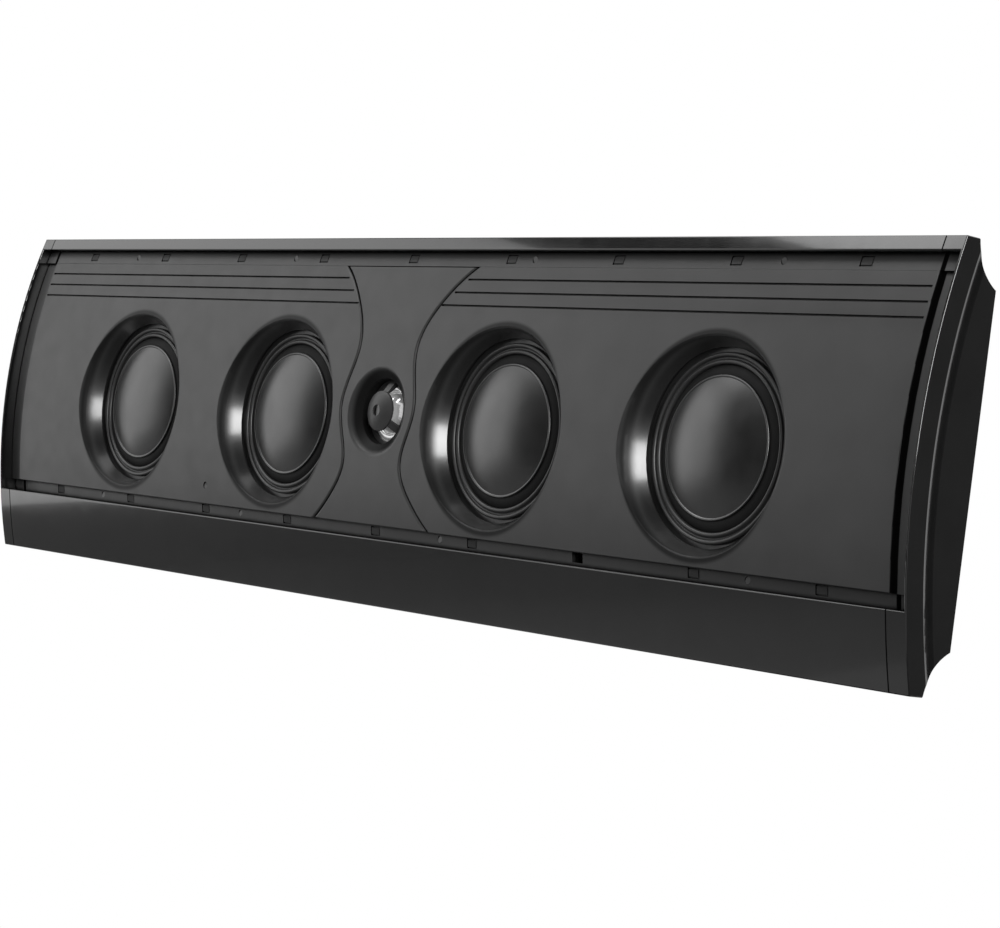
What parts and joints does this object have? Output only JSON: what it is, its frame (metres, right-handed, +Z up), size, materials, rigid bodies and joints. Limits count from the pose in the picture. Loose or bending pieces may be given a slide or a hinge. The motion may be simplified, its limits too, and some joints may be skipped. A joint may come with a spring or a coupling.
{
  "type": "on-wall speaker",
  "caption": "Slim bowed wall speaker: long black cabinet with end caps, a recessed front field of round domed woofers in flared mouths and a tweeter in an hourglass plate.",
  "frame": {"origin": "middle of the flat back that lies on the wall", "axes": "+X along the length, to the right seen from the front, +Y into the wall, +Z up"},
  "size_m": [0.8616, 0.042, 0.2182],
  "materials": {
    "black_lacquer": "gloss",
    "black_gloss": "gloss",
    "charcoal_plastic": "satin",
    "dark_plastic": "satin",
    "bright_aluminium": "polished",
    "cone_metal": "satin",
    "ring_plastic": "satin",
    "surround_rubber": "matte",
    "catch_rubber": "matte",
    "copper": "satin",
    "nickel": "satin",
    "steel": "satin",
    "pressed_steel": "satin",
    "zinc_screw": "satin",
    "black_screw": "satin",
    "red_plastic": "gloss",
    "board": "satin",
    "sleeve": "gloss",
    "spider_cloth": "matte",
    "wadding": "matte"
  },
  "bodies": {
    "cabinet_body": {"baffle": "charcoal_plastic", "baffle_screws": "black_screw", "binding_post_black": "black_gloss", "binding_post_red": "red_plastic", "board_screws": "zinc_screw", "cabinet": "black_lacquer", "capacitors": "sleeve", "crossover_board": "board", "end_cap_left": "black_gloss", "end_cap_right": "black_gloss", "grille_catches": "catch_rubber", "hanger_covers": "dark_plastic", "inductors": "copper", "terminal_cup": "dark_plastic", "terminal_screws": "black_screw", "threaded_inserts": "zinc_screw", "tweeter_coil": "copper", "tweeter_dome": "bright_aluminium", "tweeter_magnet": "nickel", "tweeter_phase_plug": "dark_plastic", "tweeter_plate": "charcoal_plastic", "tweeter_pole_plate": "steel", "tweeter_screws": "zinc_screw", "tweeter_yoke": "steel", "wadding_left": "wadding", "wadding_right": "wadding", "woofer_1_basket": "pressed_steel", "woofer_1_pole_plate": "steel", "woofer_1_spider": "spider_cloth", "woofer_1_surround": "surround_rubber", "woofer_1_trim_ring": "ring_plastic", "woofer_1_yoke": "steel", "woofer_2_basket": "pressed_steel", "woofer_2_pole_plate": "steel", "woofer_2_spider": "spider_cloth", "woofer_2_surround": "surround_rubber", "woofer_2_trim_ring": "ring_plastic", "woofer_2_yoke": "steel", "woofer_3_basket": "pressed_steel", "woofer_3_pole_plate": "steel", "woofer_3_spider": "spider_cloth", "woofer_3_surround": "surround_rubber", "woofer_3_trim_ring": "ring_plastic", "woofer_3_yoke": "steel", "woofer_4_basket": "pressed_steel", "woofer_4_pole_plate": "steel", "woofer_4_spider": "spider_cloth", "woofer_4_surround": "surround_rubber", "woofer_4_trim_ring": "ring_plastic", "woofer_4_yoke": "steel", "woofer_magnets": "nickel", "woofer_screws": "zinc_screw"},
    "woofer_1_moving": {"woofer_1_cone": "cone_metal", "woofer_1_voice_coil": "copper"},
    "woofer_2_moving": {"woofer_2_cone": "cone_metal", "woofer_2_voice_coil": "copper"},
    "woofer_3_moving": {"woofer_3_cone": "cone_metal", "woofer_3_voice_coil": "copper"},
    "woofer_4_moving": {"woofer_4_cone": "cone_metal", "woofer_4_voice_coil": "copper"}
  },
  "joints": [
    {"name": "woofer_1_excursion", "type": "slide", "parent": "cabinet_body", "child": "woofer_1_moving", "axis": [0, -1, 0], "range_m": [-0.003, 0.003], "stiffness_N_per_m": 1200, "deforming": ["woofer_1_surround", "woofer_1_spider"]},
    {"name": "woofer_2_excursion", "type": "slide", "parent": "cabinet_body", "child": "woofer_2_moving", "axis": [0, -1, 0], "range_m": [-0.003, 0.003], "stiffness_N_per_m": 1200, "deforming": ["woofer_2_surround", "woofer_2_spider"]},
    {"name": "woofer_3_excursion", "type": "slide", "parent": "cabinet_body", "child": "woofer_3_moving", "axis": [0, -1, 0], "range_m": [-0.003, 0.003], "stiffness_N_per_m": 1200, "deforming": ["woofer_3_surround", "woofer_3_spider"]},
    {"name": "woofer_4_excursion", "type": "slide", "parent": "cabinet_body", "child": "woofer_4_moving", "axis": [0, -1, 0], "range_m": [-0.003, 0.003], "stiffness_N_per_m": 1200, "deforming": ["woofer_4_surround", "woofer_4_spider"]}
  ]
}
